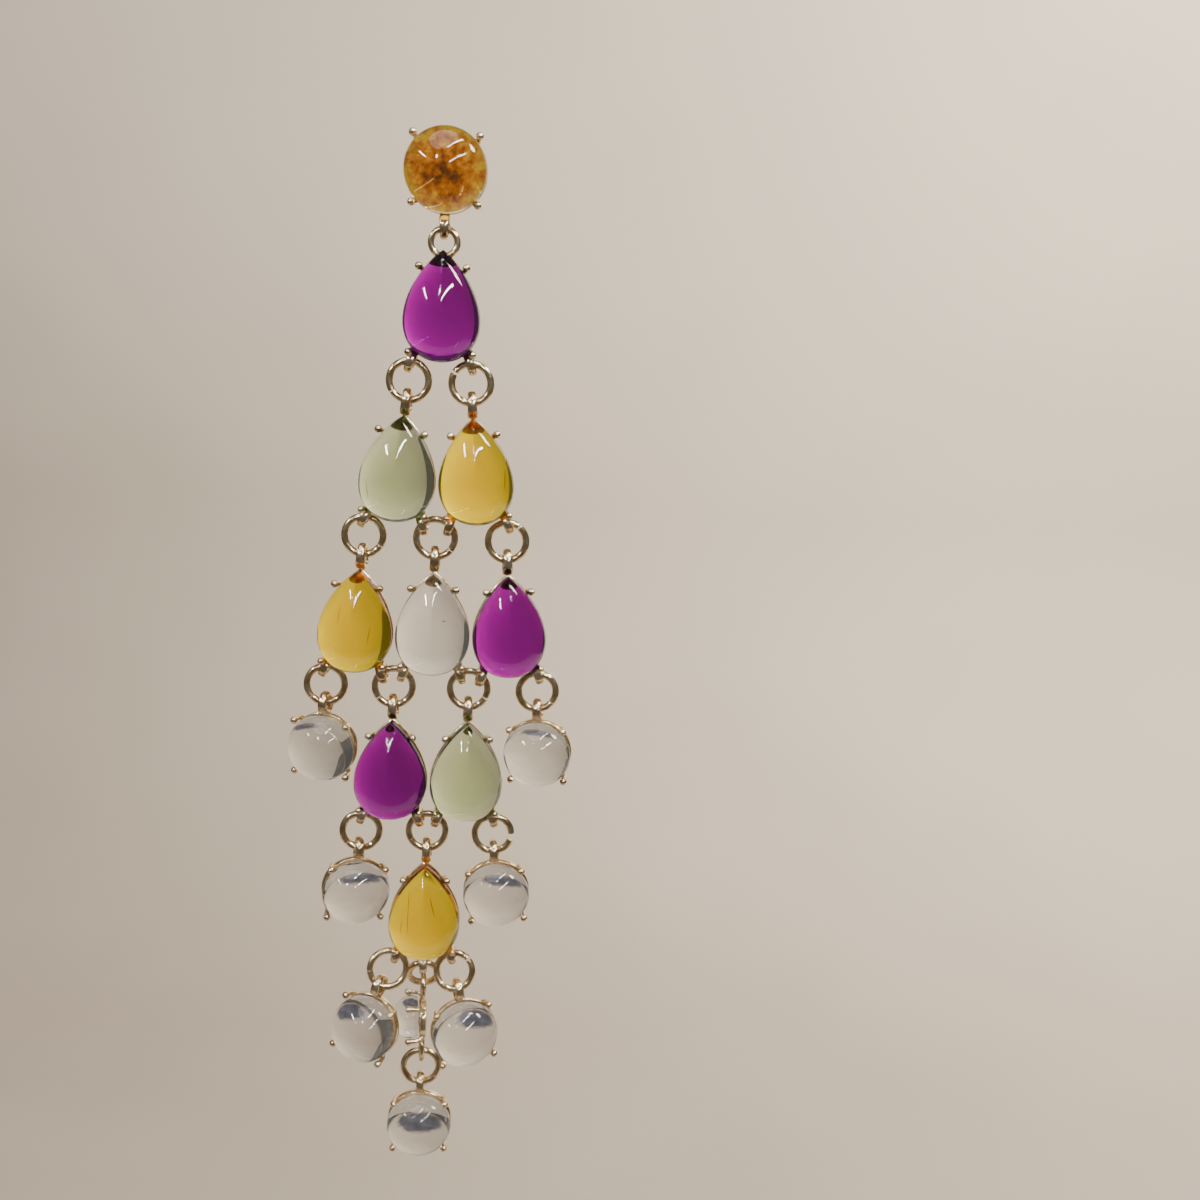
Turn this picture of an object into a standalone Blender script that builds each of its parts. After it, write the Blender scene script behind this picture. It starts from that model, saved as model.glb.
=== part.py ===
"""A chandelier earring: a round stud and seven tiers of stones in open claw settings.

The earring hangs in the XZ plane and faces -Y, with its ear post along +Y and +Z up.
The origin is on the back plate of the stud, where the ear post leaves it.
Each drop is modelled with its hook point at the origin: the point of its bail that the
wire of the jump ring above it goes through. The jump rings and drops are then hung one
below the other, from the stud down.
"""

from math import acos, asin, atan2, cos, floor, pi, radians, sin, sqrt

import bmesh
import bpy
from mathutils import Matrix, Vector

MM = 0.001

# Room left between two pieces that touch, and between a jump ring's wire and the side of
# the hole that it pulls on
GAP = 0.25 * MM
LINK_GAP = 0.4 * MM

# Stones
PEAR_WIDTH = 9.9 * MM
PEAR_LENGTH = 14.0 * MM
PEAR_TAPER = 0.7
PEAR_DOME = 3.9 * MM
ROUND_WIDTH = 9.3 * MM
ROUND_DOME = 3.7 * MM
LINK_WIDTH = 6.0 * MM
LINK_DOME = 2.8 * MM
STUD_WIDTH = 10.5 * MM
STUD_DOME = 4.0 * MM
GIRDLE = 0.8 * MM
BASE_INSET = 0.25 * MM

# Settings: an open rim behind the stone, claws that end in a ball, and a web at the tip
RIM_THICKNESS = 0.7 * MM
RIM_DEPTH = 0.9 * MM
CLAW_WIRE = 0.75 * MM
CLAW_BALL = 1.0 * MM
CLAW_RISE = 0.55 * MM
CLAW_TIP_WIDTH = 0.55 * MM
CLAW_TIP_LENGTH = 0.4 * MM
WEB_THICKNESS = 0.5 * MM
WEB_DROP = 2.3 * MM

# Loops cast on the settings, their holes along the wire of a frontal jump ring
LOOP_WIRE = 0.7 * MM
LOOP_BREADTH = 1.0 * MM
LOOP_HOLE = 1.8 * MM
LOOP_OUT = 0.2 * MM
PEAR_BAIL_STRETCH = 0.2 * MM
LOOP_SPLAY = radians(19)
LOOP_STATION = radians(144)

# Eyes in the plane of a setting: on the first pear, and above and below the small round.
# Those of the small round are drawn out into ovals, their ends lapped onto its rim.
EYE_WIRE = 0.85 * MM
EYE_HOLE = 2.5 * MM
EYE_OVER_TIP = 1.0 * MM
LINK_EYE_WIRE = 0.75 * MM
LINK_EYE_HOLE = 2.1 * MM
LINK_EYE_STRETCH = 0.47 * MM
LINK_EYE_LAP = 0.2 * MM

# Jump rings
RING_WIDTH = 6.0 * MM
SMALL_RING_WIDTH = 5.0 * MM
RING_WIRE = 0.95 * MM
RING_SEAM = 0.2 * MM

# Ear post and the plate that carries it
PLATE_INSET = 0.45 * MM
PLATE_THICKNESS = 0.7 * MM
PLATE_LAP = 0.3 * MM
POST_WIRE = 0.9 * MM
POST_LENGTH = 11.0 * MM

# Number of sides of the faceted solids
OUTLINE_SIDES = 16
RING_STEPS = 10
LOOP_STEPS = 10
WIRE_SIDES = 6
LOOP_WIRE_SIDES = 5
WEB_STEPS = 4

# Worked out from the sizes above. A play is how far a jump ring's wire lies from the
# middle of the hole that it pulls on.
LATTICE = PEAR_WIDTH + GAP
STONE_BACK = RIM_DEPTH / 2 + GAP
LOOP_MEAN = (LOOP_HOLE + LOOP_WIRE) / 2
LOOP_PLAY = (LOOP_HOLE - RING_WIRE) / 2 - LINK_GAP
EYE_MEAN = (EYE_HOLE + EYE_WIRE) / 2
LINK_EYE_MEAN = (LINK_EYE_HOLE + LINK_EYE_WIRE) / 2
LINK_EYE_RISE = LINK_EYE_MEAN + LINK_EYE_STRETCH
LINK_EYE_PLAY = LINK_EYE_RISE - (LINK_EYE_WIRE + RING_WIRE) / 2 - LINK_GAP
LINK_EYE_OVER_EDGE = LINK_EYE_RISE - LINK_EYE_LAP
PLATE_WIDTH = STUD_WIDTH - 2 * PLATE_INSET
CHAIN_Y = -(PLATE_THICKNESS - PLATE_LAP + RIM_DEPTH / 2)

# Shape of a dome: how far up it each section lies, and how wide the section is
DOME_SECTIONS = (
    # share_of_height, share_of_width
    (0.52, 0.86),
    (0.88, 0.48),
)
APEX_DROP = 0.10  # the top of a pear's dome lies this share of the length below the middle

# Angles round the outline, from the tip, at which the claws stand
PEAR_CLAWS = (radians(50), radians(141), radians(219), radians(310))
ROUND_CLAWS = (radians(45), radians(135), radians(225), radians(315))

# The drops. place is how far the drop is held from the middle of the earring by its
# neighbours, counted in half widths of the lattice, and a drop without one hangs free.
# Angles are in degrees. A lean takes the foot of the drop to +X, beyond what its place
# gives it, a tilt takes it back, and a turn makes it face +X.
DROPS = (
    # name, form, stone, hangs_on, place, lean, tilt, turn
    ("purple_1", "pear_top", "purple", "stud", 0, 0, 0, 0),
    ("green_1", "pear", "green", "ring_1_left", -1, 0, 0, -3),
    ("yellow_1", "pear", "yellow", "ring_1_right", 1, 0, 0, 1),
    ("yellow_2", "pear", "yellow", "ring_2_left", -2, 0, 0, -5),
    ("clear_1", "pear", "clear", "ring_2_middle", 0, 0, 0, 0),
    ("purple_2", "pear", "purple", "ring_2_right", 2, 0, 0, 4),
    ("round_1", "round", "clear", "ring_3_left", None, 0, 6, -16),
    ("purple_3", "pear", "purple", "ring_3_mid_left", -1, 0, 0, -3),
    ("green_2", "pear", "green", "ring_3_mid_right", 1, 0, 0, 3),
    ("round_2", "round", "clear", "ring_3_right", 2.95, 0, 6, -10),
    ("round_3", "round", "clear", "ring_4_left", -1.95, 0, 6, 12),
    ("yellow_3", "pear_foot", "yellow", "ring_4_middle", 0, 0, 0, 0),
    ("round_4", "round", "clear", "ring_4_right", 1.95, 0, 6, 0),
    ("round_5", "round", "clear", "ring_5_left", -1.73, 14, -3, -25),
    ("round_6", "round_link", "clear", "ring_5_middle", None, 0, 0, -84),
    ("round_7", "round", "clear", "ring_5_right", 1.32, -7, -3, 14),
    ("round_8", "round", "clear", "ring_6", None, 0, 3, 0),
)

# The jump rings. A ring hangs in one loop, or in two loops of neighbouring drops, which
# turn it in line with their holes.
RINGS = (
    # name, loops it hangs in, width, tilt, turn
    ("ring_1_left", (("purple_1", "left"),), RING_WIDTH, 0, 0),
    ("ring_1_right", (("purple_1", "right"),), RING_WIDTH, 0, 0),
    ("ring_2_left", (("green_1", "left"),), RING_WIDTH, 0, 0),
    ("ring_2_middle", (("green_1", "right"), ("yellow_1", "left")), RING_WIDTH, 0, 0),
    ("ring_2_right", (("yellow_1", "right"),), RING_WIDTH, 0, 0),
    ("ring_3_left", (("yellow_2", "left"),), RING_WIDTH, 0, 0),
    ("ring_3_mid_left", (("yellow_2", "right"), ("clear_1", "left")), RING_WIDTH, 0, 0),
    ("ring_3_mid_right", (("clear_1", "right"), ("purple_2", "left")), RING_WIDTH, 0, 0),
    ("ring_3_right", (("purple_2", "right"),), RING_WIDTH, 0, 0),
    ("ring_4_left", (("purple_3", "left"),), RING_WIDTH, 0, 0),
    ("ring_4_middle", (("purple_3", "right"), ("green_2", "left")), RING_WIDTH, 0, 0),
    ("ring_4_right", (("green_2", "right"),), RING_WIDTH, 0, 0),
    ("ring_5_left", (("yellow_3", "left"),), RING_WIDTH, -15, 0),
    ("ring_5_middle", (("yellow_3", "middle"),), SMALL_RING_WIDTH, 20, 2),
    ("ring_5_right", (("yellow_3", "right"),), RING_WIDTH, -17, 0),
    ("ring_6", (("round_6", "eye"),), RING_WIDTH, 0, 0),
)
SEAM_ANGLE = radians(125)  # where the cut of a jump ring lies, clear of what it holds
SHARP_ANGLE = radians(40)  # edges that turn further than this are drawn sharp
WELD = 0.001 * MM  # points nearer than this are one point
FLAT = radians(0.02)  # faces that turn less than this lie in one plane

# Colours of the stones, with roughness, and of the metal
STONE_COLOURS = {
    "purple": (0.18, 0.02, 0.21, 1.0),
    "yellow": (0.60, 0.39, 0.03, 1.0),
    "green": (0.35, 0.40, 0.26, 1.0),
    "clear": (0.80, 0.80, 0.78, 1.0),
    "amber": (0.33, 0.12, 0.02, 1.0),
}
METAL_COLOUR = (0.62, 0.42, 0.24, 1.0)


def clear_scene():
    """Remove every object that the scene starts with."""
    for old in list(bpy.data.objects):
        bpy.data.objects.remove(old, do_unlink=True)


def make_collection(name):
    """A collection of the given name, linked to the scene."""
    collection = bpy.data.collections.new(name)
    bpy.context.scene.collection.children.link(collection)
    return collection


def make_material(name, colour, roughness, metallic):
    """A plain Principled material."""
    material = bpy.data.materials.new(name)
    material.use_nodes = True
    shader = material.node_tree.nodes["Principled BSDF"]
    shader.inputs["Base Color"].default_value = colour
    shader.inputs["Roughness"].default_value = roughness
    shader.inputs["Metallic"].default_value = metallic
    material.diffuse_color = colour
    return material


def outline_point(angle, width, length, taper):
    """A point of a drop-shaped outline, as (x, z) round its middle, from the tip at 0.

    The half width is sin(angle) * sin(angle / 2) ** taper, made to reach the full width,
    and the height is cos(angle). A taper of 0 gives an ellipse or a circle.
    """
    widest = 2 * asin(sqrt((1 + taper) / (2 + taper)))
    full = sin(widest) * sin(widest / 2) ** taper
    x = sin(angle) * abs(sin(angle / 2)) ** taper / full * width / 2
    return x, cos(angle) * length / 2


def outline_edge(angle, width, length, taper):
    """The point of the faceted outline at an angle, on the line between two corners."""
    step = 2 * pi / OUTLINE_SIDES
    corner = floor(angle / step)
    share = angle / step - corner
    x, z = outline_point(corner * step, width, length, taper)
    next_x, next_z = outline_point((corner + 1) * step, width, length, taper)
    return x + (next_x - x) * share, z + (next_z - z) * share


def outline_normal(angle, width, length, taper):
    """The outward direction, as (x, z), across the outline at an angle."""
    step = 0.01
    before = outline_point(angle - step, width, length, taper)
    after = outline_point(angle + step, width, length, taper)
    along = Vector((after[0] - before[0], after[1] - before[1])).normalized()
    return -along.y, along.x


def section(width, length, taper, inset, y, centre_z):
    """One closed section of a stone or rim: the outline drawn in by inset, at depth y.

    The tip of a pear is drawn in further than its sides, as a parallel curve would be.
    """
    tip_inset = inset * (1 + taper)
    low = -length / 2 + inset
    high = length / 2 - tip_inset
    middle = centre_z + (low + high) / 2
    points = []
    for index in range(OUTLINE_SIDES):
        angle = 2 * pi * index / OUTLINE_SIDES
        x, z = outline_point(angle, width - 2 * inset, high - low, taper)
        points.append(Vector((x, y, middle + z)))
    return points


def loft(name, sections, ends):
    """A closed solid through sections with the same number of points.

    ends is "caps" for a solid with two flat ends, "apex" where the last section is one
    point, and "ring" where the last section joins the first.
    """
    mesh = bmesh.new()
    rows = [[mesh.verts.new(point) for point in points] for points in sections]
    bands = list(zip(rows, rows[1:]))
    if ends == "ring":
        bands.append((rows[-1], rows[0]))
    for low, high in bands:
        count = len(low)
        for index in range(count):
            after = (index + 1) % count
            if len(high) == 1:
                mesh.faces.new((low[index], low[after], high[0]))
            else:
                mesh.faces.new((low[index], low[after], high[after], high[index]))
    if ends in ("caps", "apex"):
        mesh.faces.new(rows[0])
    if ends == "caps":
        mesh.faces.new(rows[-1])
    bmesh.ops.recalc_face_normals(mesh, faces=mesh.faces)
    data = bpy.data.meshes.new(name)
    mesh.to_mesh(data)
    mesh.free()
    return link_helper(name, data)


def link_helper(name, data):
    """An object for a mesh or curve, in the scene's own collection while it is worked on."""
    helper = bpy.data.objects.new(name, data)
    bpy.context.scene.collection.objects.link(helper)
    return helper


def evaluated_mesh(thing):
    """A mesh of the object as its modifiers and bevel make it, with its caps welded."""
    bpy.context.view_layer.update()
    graph = bpy.context.evaluated_depsgraph_get()
    data = bpy.data.meshes.new_from_object(thing.evaluated_get(graph))
    welded = bmesh.new()
    welded.from_mesh(data)
    bmesh.ops.remove_doubles(welded, verts=welded.verts, dist=WELD)
    bmesh.ops.recalc_face_normals(welded, faces=welded.faces)
    welded.to_mesh(data)
    welded.free()
    return data


def wire(name, points, diameters):
    """A round wire through the points, with a diameter at each, as a mesh."""
    curve = bpy.data.curves.new(name, "CURVE")
    curve.dimensions = "3D"
    curve.bevel_depth = 0.5
    curve.bevel_resolution = (WIRE_SIDES - 4) // 2
    curve.use_fill_caps = True
    spline = curve.splines.new("POLY")
    spline.points.add(len(points) - 1)
    for control, point, diameter in zip(spline.points, points, diameters):
        control.co = (*point, 1)
        control.radius = diameter
    drawn = link_helper(name, curve)
    made = link_helper(name, evaluated_mesh(drawn))
    bpy.data.objects.remove(drawn, do_unlink=True)
    return made


def torus(name, mean_radius, thickness, steps):
    """A torus round the Y axis, centred on the origin."""
    bpy.ops.mesh.primitive_torus_add(
        major_radius=mean_radius,
        minor_radius=thickness / 2,
        major_segments=steps,
        minor_segments=LOOP_WIRE_SIDES,
        rotation=(pi / 2, 0, 0),
    )
    ring = bpy.context.active_object
    ring.name = name
    ring.data.transform(ring.matrix_basis)
    ring.matrix_basis = Matrix.Identity(4)
    return ring


def cast_loop(name, centre, rise, splay):
    """A strap loop whose hole runs along X, rise high to its wire's middle, splayed."""
    loop = torus(name, LOOP_MEAN, LOOP_WIRE, LOOP_STEPS)
    stretch = Matrix.Diagonal((1, LOOP_BREADTH / LOOP_WIRE, rise / LOOP_MEAN, 1))
    turned = Matrix.Rotation(pi / 2, 4, "Z")
    leaned = Matrix.Rotation(-splay, 4, "Y")
    loop.data.transform(Matrix.Translation(centre) @ leaned @ turned @ stretch)
    return loop


def plate_and_post(name):
    """The back plate of the stud with the ear post on it, turned round the Y axis."""
    back = -CHAIN_Y
    turned = (
        # depth, diameter
        (back - PLATE_THICKNESS, PLATE_WIDTH),
        (back, PLATE_WIDTH),
        (back, POST_WIRE),
        (back + POST_LENGTH - POST_WIRE / 2, POST_WIRE),
    )
    sections = [section(diameter, diameter, 0, 0, y, 0) for y, diameter in turned]
    sections.append([Vector((0, back + POST_LENGTH, 0))])
    return loft(name, sections, "apex")


def claw(name, angle, width, length, taper, centre_z):
    """A claw: a wire that leaves the rim, passes the girdle and ends in a ball."""
    edge_x, edge_z = outline_point(angle, width, length, taper)
    out_x, out_z = outline_normal(angle, width, length, taper)
    beside = CLAW_WIRE / 2 + GAP
    ball_out = max(beside, CLAW_BALL / 2 + GAP)
    ball_y = -(STONE_BACK + GIRDLE + CLAW_RISE)
    path = (
        # out from the edge, depth, diameter
        (-RIM_THICKNESS / 2, 0, CLAW_WIRE),
        (beside - BASE_INSET, -RIM_DEPTH / 2, CLAW_WIRE),
        (ball_out, ball_y, CLAW_BALL),
        (ball_out, ball_y - CLAW_TIP_LENGTH, CLAW_TIP_WIDTH),
    )
    points = []
    diameters = []
    for out, y, diameter in path:
        points.append((edge_x + out_x * out, y, centre_z + edge_z + out_z * out))
        diameters.append(diameter)
    return wire(name, points, diameters)


def rim(name, width, length, taper, centre_z):
    """The open band behind the stone, its outer edge flush with the stone's."""
    front = -RIM_DEPTH / 2
    back = RIM_DEPTH / 2
    corners = ((0, front), (0, back), (RIM_THICKNESS, back), (RIM_THICKNESS, front))
    sections = [section(width, length, taper, inset, y, centre_z) for inset, y in corners]
    return loft(name, sections, "ring")


def web(name, centre_z):
    """The plate behind the tip of a pear, cut off straight at its lower edge."""
    inset = RIM_THICKNESS / 2
    half_length = PEAR_LENGTH / 2
    spread = acos((half_length - WEB_DROP) / half_length)
    width = PEAR_WIDTH - 2 * inset
    length = PEAR_LENGTH - 2 * inset
    sections = []
    for y in (-WEB_THICKNESS / 2, WEB_THICKNESS / 2):
        points = []
        for index in range(WEB_STEPS + 1):
            angle = spread * (2 * index / WEB_STEPS - 1)
            x, z = outline_point(angle, width, length, PEAR_TAPER)
            points.append(Vector((x, y, centre_z + z - inset)))
        sections.append(points)
    return loft(name, sections, "caps")


def unite(name, pieces):
    """One solid out of overlapping ones, soldered together."""
    body = pieces[0]
    for piece in pieces[1:]:
        solder = body.modifiers.new("solder", "BOOLEAN")
        solder.operation = "UNION"
        solder.solver = "EXACT"
        solder.object = piece
    data = evaluated_mesh(body)
    data.name = name
    merge_flat_faces(data)
    for piece in pieces:
        bpy.data.objects.remove(piece, do_unlink=True)
    return data


def merge_flat_faces(data):
    """Merge the slivers that soldering leaves in faces that are flat."""
    merged = bmesh.new()
    merged.from_mesh(data)
    bmesh.ops.dissolve_limit(
        merged, angle_limit=FLAT, verts=merged.verts, edges=merged.edges
    )
    loose = [edge for edge in merged.edges if not edge.link_faces]
    bmesh.ops.delete(merged, geom=loose, context="EDGES")
    bmesh.ops.triangulate(merged, faces=merged.faces)
    merged.to_mesh(data)
    merged.free()


def stone_form(form):
    """Width, length, taper and dome of the stone in a drop of this form."""
    if form.startswith("pear"):
        return PEAR_WIDTH, PEAR_LENGTH, PEAR_TAPER, PEAR_DOME
    if form == "round_link":
        return LINK_WIDTH, LINK_WIDTH, 0, LINK_DOME
    return ROUND_WIDTH, ROUND_WIDTH, 0, ROUND_DOME


def bail_rise(form):
    """Half the height of the bail, to the middle of its wire."""
    return LOOP_MEAN + (PEAR_BAIL_STRETCH if form.startswith("pear") else 0)


def stone_middle(form):
    """How high the middle of the stone lies from the hook point of its drop."""
    _, length, _, _ = stone_form(form)
    if form == "pear_top":
        top = -(EYE_MEAN + EYE_OVER_TIP)
    elif form == "round_link":
        top = -(LINK_EYE_PLAY + LINK_EYE_OVER_EDGE)
    else:
        rise = bail_rise(form)
        top = -(rise - LOOP_MEAN + LOOP_PLAY + rise + LOOP_OUT)
    return top - length / 2


def bottom_loops(form):
    """The holes at the foot of a drop: the place of each, its splay and the ring's play."""
    width, length, taper, _ = stone_form(form)
    middle = stone_middle(form)
    edge_x, edge_z = outline_edge(LOOP_STATION, width, length, taper)
    out = LOOP_OUT + LOOP_MEAN
    x = edge_x + sin(LOOP_SPLAY) * out
    z = middle + edge_z - cos(LOOP_SPLAY) * out
    foot = middle - length / 2
    holes = {}
    if form.startswith("pear"):
        holes["left"] = Vector((-x, 0, z)), -LOOP_SPLAY, LOOP_PLAY
        holes["right"] = Vector((x, 0, z)), LOOP_SPLAY, LOOP_PLAY
    if form == "pear_foot":
        holes["middle"] = Vector((0, 0, foot - out)), 0, LOOP_PLAY
    if form == "round_link":
        holes["eye"] = Vector((0, 0, foot - LINK_EYE_OVER_EDGE)), 0, LINK_EYE_PLAY
    return holes


def stone_mesh(name, width, length, taper, dome, centre_z):
    """A cabochon: flat back, straight girdle and a dome that faces -Y."""
    girdle_y = -STONE_BACK - GIRDLE
    sections = [
        section(width, length, taper, BASE_INSET, -STONE_BACK, centre_z),
        section(width, length, taper, 0, girdle_y, centre_z),
    ]
    apex = Vector((0, 0, centre_z - (APEX_DROP * length if taper else 0)))
    for height_share, width_share in DOME_SECTIONS:
        y = girdle_y - dome * height_share
        base = section(width, length, taper, 0, y, centre_z)
        centre = Vector((0, y, apex.z))
        sections.append([centre + (point - centre) * width_share for point in base])
    apex.y = girdle_y - dome
    sections.append([apex])
    made = loft(name, sections, "apex")
    data = made.data
    bpy.data.objects.remove(made, do_unlink=True)
    return data


def eye(name, mean_radius, rise, thickness, centre_z):
    """An eye in the plane of the setting, rise high to its wire's middle."""
    made = torus(name, mean_radius, thickness, RING_STEPS)
    stretch = Matrix.Diagonal((1, 1, rise / mean_radius, 1))
    made.data.transform(Matrix.Translation((0, 0, centre_z)) @ stretch)
    return made


def link_eye(centre_z):
    """One of the two eyes of the small round."""
    return eye("eye", LINK_EYE_MEAN, LINK_EYE_RISE, LINK_EYE_WIRE, centre_z)


def drop_setting_mesh(form):
    """The soldered metal of a drop: rim, claws, web, bail or eye, and bottom loops."""
    width, length, taper, _ = stone_form(form)
    middle = stone_middle(form)
    pieces = [rim("rim", width, length, taper, middle)]
    for angle in PEAR_CLAWS if taper else ROUND_CLAWS:
        pieces.append(claw("claw", angle, width, length, taper, middle))
    if taper:
        pieces.append(web("web", middle))
    if form == "pear_top":
        pieces.append(eye("eye", EYE_MEAN, EYE_MEAN, EYE_WIRE, -EYE_MEAN))
    elif form == "round_link":
        pieces.append(link_eye(-LINK_EYE_PLAY))
    else:
        rise = bail_rise(form)
        hole = Vector((0, 0, LOOP_MEAN - LOOP_PLAY - rise))
        pieces.append(cast_loop("bail", hole, rise, 0))
    for side, (place, splay, _) in bottom_loops(form).items():
        if side == "eye":
            pieces.append(link_eye(place.z))
        else:
            pieces.append(cast_loop("loop", place, LOOP_MEAN, splay))
    return unite("setting_" + form, pieces)


def stud_bail_z():
    """The height of the middle of the stud's bail."""
    return -(STUD_WIDTH / 2 + LOOP_OUT + LOOP_MEAN)


def stud_hook_z():
    """The height at which the eye of the first pear hangs in the bail of the stud."""
    return stud_bail_z() - LOOP_MEAN + LOOP_WIRE / 2 + GAP + EYE_WIRE / 2


def stud_setting_mesh():
    """The soldered metal of the stud: rim, claws, bail, back plate and ear post."""
    pieces = [rim("rim", STUD_WIDTH, STUD_WIDTH, 0, 0)]
    for angle in ROUND_CLAWS:
        pieces.append(claw("claw", angle, STUD_WIDTH, STUD_WIDTH, 0, 0))
    pieces.append(cast_loop("bail", Vector((0, 0, stud_bail_z())), LOOP_MEAN, 0))
    pieces.append(plate_and_post("plate"))
    return unite("setting_stud", pieces)


def jump_ring_mesh(width):
    """A jump ring round the Y axis: a wire bent round, with the fine cut where it closes."""
    mean_radius = (width - RING_WIRE) / 2
    opening = RING_SEAM / mean_radius
    points = []
    for index in range(RING_STEPS + 1):
        angle = SEAM_ANGLE + opening / 2 + (2 * pi - opening) * index / RING_STEPS
        points.append((mean_radius * sin(angle), 0, mean_radius * cos(angle)))
    made = wire("jump_ring", points, [RING_WIRE] * len(points))
    data = made.data
    bpy.data.objects.remove(made, do_unlink=True)
    return data


def hang_frame(point, lean, tilt, turn):
    """The place and turn of something hung at a point: turned, tilted, then leaned."""
    turned = Matrix.Rotation(turn, 4, "Z")
    tilted = Matrix.Rotation(tilt, 4, "X")
    leaned = Matrix.Rotation(-lean, 4, "Y")
    return Matrix.Translation(point) @ leaned @ tilted @ turned


def plumb(lean, tilt):
    """The direction down a hung piece."""
    return (hang_frame(Vector(), lean, tilt, 0) @ Vector((0, 0, -1))).normalized()


def hang_everything():
    """Frames of the drops and jump rings, worked out from the stud down."""
    frames = {"stud": Matrix.Translation((0, CHAIN_Y, 0))}
    forms = {name: form for name, form, *_ in DROPS}
    rings = {name: row for name, *row in RINGS}
    for name, form, _, hangs_on, place, lean, tilt, turn in DROPS:
        lean, tilt, turn = radians(lean), radians(tilt), radians(turn)
        if hangs_on == "stud":
            hook = Vector((0, CHAIN_Y, stud_hook_z()))
            frames[name] = hang_frame(hook, lean, tilt, turn)
            continue
        loops, width, ring_tilt, ring_turn = rings[hangs_on]
        ring_tilt = radians(ring_tilt)
        ring_mean = (width - RING_WIRE) / 2
        holes = []
        for upper, side in loops:
            hole, _, play = bottom_loops(forms[upper])[side]
            holes.append(frames[upper] @ hole)
        across = holes[-1] - holes[0]
        ring_turn = radians(ring_turn) + atan2(across.y, across.x)
        spread = across.length / 2
        top = (holes[0] + holes[-1]) / 2
        reach = sqrt((ring_mean + play) ** 2 - spread**2)
        _, length, taper, _ = stone_form(form)
        to_belly = ring_mean - stone_middle(form) + (APEX_DROP * length if taper else 0)
        held_at = top.x if place is None else place * LATTICE / 2
        if spread:
            ring_lean = atan2(across.z, sqrt(across.x**2 + across.y**2))
        else:
            ring_lean = asin((held_at - top.x) / (reach + to_belly))
        centre = top + plumb(ring_lean, ring_tilt) * reach
        hook_lean = asin((held_at - centre.x) / to_belly)
        frames[hangs_on] = hang_frame(centre, ring_lean, ring_tilt, ring_turn)
        hook = centre + plumb(hook_lean, ring_tilt) * ring_mean
        frames[name] = hang_frame(hook, hook_lean + lean, tilt, turn)
    return frames


def place_object(name, data, frame, material, collection):
    """A named piece of the earring, with its mesh, place and material."""
    piece = bpy.data.objects.new(name, data)
    collection.objects.link(piece)
    piece.rotation_mode = "QUATERNION"
    piece.location = frame.to_translation()
    piece.rotation_quaternion = frame.to_quaternion()
    if not data.materials:
        data.materials.append(None)
    piece.material_slots[0].link = "OBJECT"
    piece.material_slots[0].material = material
    data.shade_smooth()
    data.set_sharp_from_angle(angle=SHARP_ANGLE)
    return piece


def build():
    """Build the whole earring."""
    clear_scene()
    earring = make_collection("chandelier_earring")
    metal = make_material("plated_metal", METAL_COLOUR, 0.25, 1.0)
    resins = {
        stone: make_material("resin_" + stone, colour, 0.08, 0.0)
        for stone, colour in STONE_COLOURS.items()
    }
    frames = hang_everything()

    stud_stone = stone_mesh("stone_stud", STUD_WIDTH, STUD_WIDTH, 0, STUD_DOME, 0)
    place_object("stud_stone", stud_stone, frames["stud"], resins["amber"], earring)
    place_object("stud_setting", stud_setting_mesh(), frames["stud"], metal, earring)

    stones = {}
    settings = {}
    for form in sorted({form for _, form, *_ in DROPS}):
        stones[form] = stone_mesh("stone_" + form, *stone_form(form), stone_middle(form))
        settings[form] = drop_setting_mesh(form)
    for name, form, stone, *_ in DROPS:
        place_object("stone_" + name, stones[form], frames[name], resins[stone], earring)
        place_object("setting_" + name, settings[form], frames[name], metal, earring)

    jump_rings = {width: jump_ring_mesh(width) for width in (RING_WIDTH, SMALL_RING_WIDTH)}
    for name, _, width, *_ in RINGS:
        place_object("jump_" + name, jump_rings[width], frames[name], metal, earring)


build()
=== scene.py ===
"""A chandelier earring of gloss resin cabochons in cast, gold plated claw settings.

The CAD frame has the earring hanging in the XZ plane, facing -Y, with its origin on the
back plate of the stud. Every stone, setting and jump ring here takes the place of its CAD
node, with the same sizes, and is made of surfaces worked out as whole arrays of points. The
lacquer behind the stud's stone, with painted shade and a painted glow on it, and dark
slivers in the resin, painted shade for streaks of refraction, with one real speck, are added.
"""

from math import asin, atan2, cos, pi, radians, sin, sqrt

import bmesh
import bpy
import numpy as np
from mathutils import Matrix, Vector


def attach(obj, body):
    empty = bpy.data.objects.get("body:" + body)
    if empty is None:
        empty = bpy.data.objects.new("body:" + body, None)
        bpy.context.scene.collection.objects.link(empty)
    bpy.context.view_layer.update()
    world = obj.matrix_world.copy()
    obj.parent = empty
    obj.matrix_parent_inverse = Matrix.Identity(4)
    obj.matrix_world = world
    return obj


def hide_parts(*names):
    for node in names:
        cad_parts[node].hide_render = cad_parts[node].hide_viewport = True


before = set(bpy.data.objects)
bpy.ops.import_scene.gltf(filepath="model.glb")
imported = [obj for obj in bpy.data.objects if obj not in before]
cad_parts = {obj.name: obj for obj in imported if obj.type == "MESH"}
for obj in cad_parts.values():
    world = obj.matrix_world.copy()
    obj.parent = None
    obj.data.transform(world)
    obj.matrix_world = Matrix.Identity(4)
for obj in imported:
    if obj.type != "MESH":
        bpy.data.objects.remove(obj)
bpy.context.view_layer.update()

MM = 0.001

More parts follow.
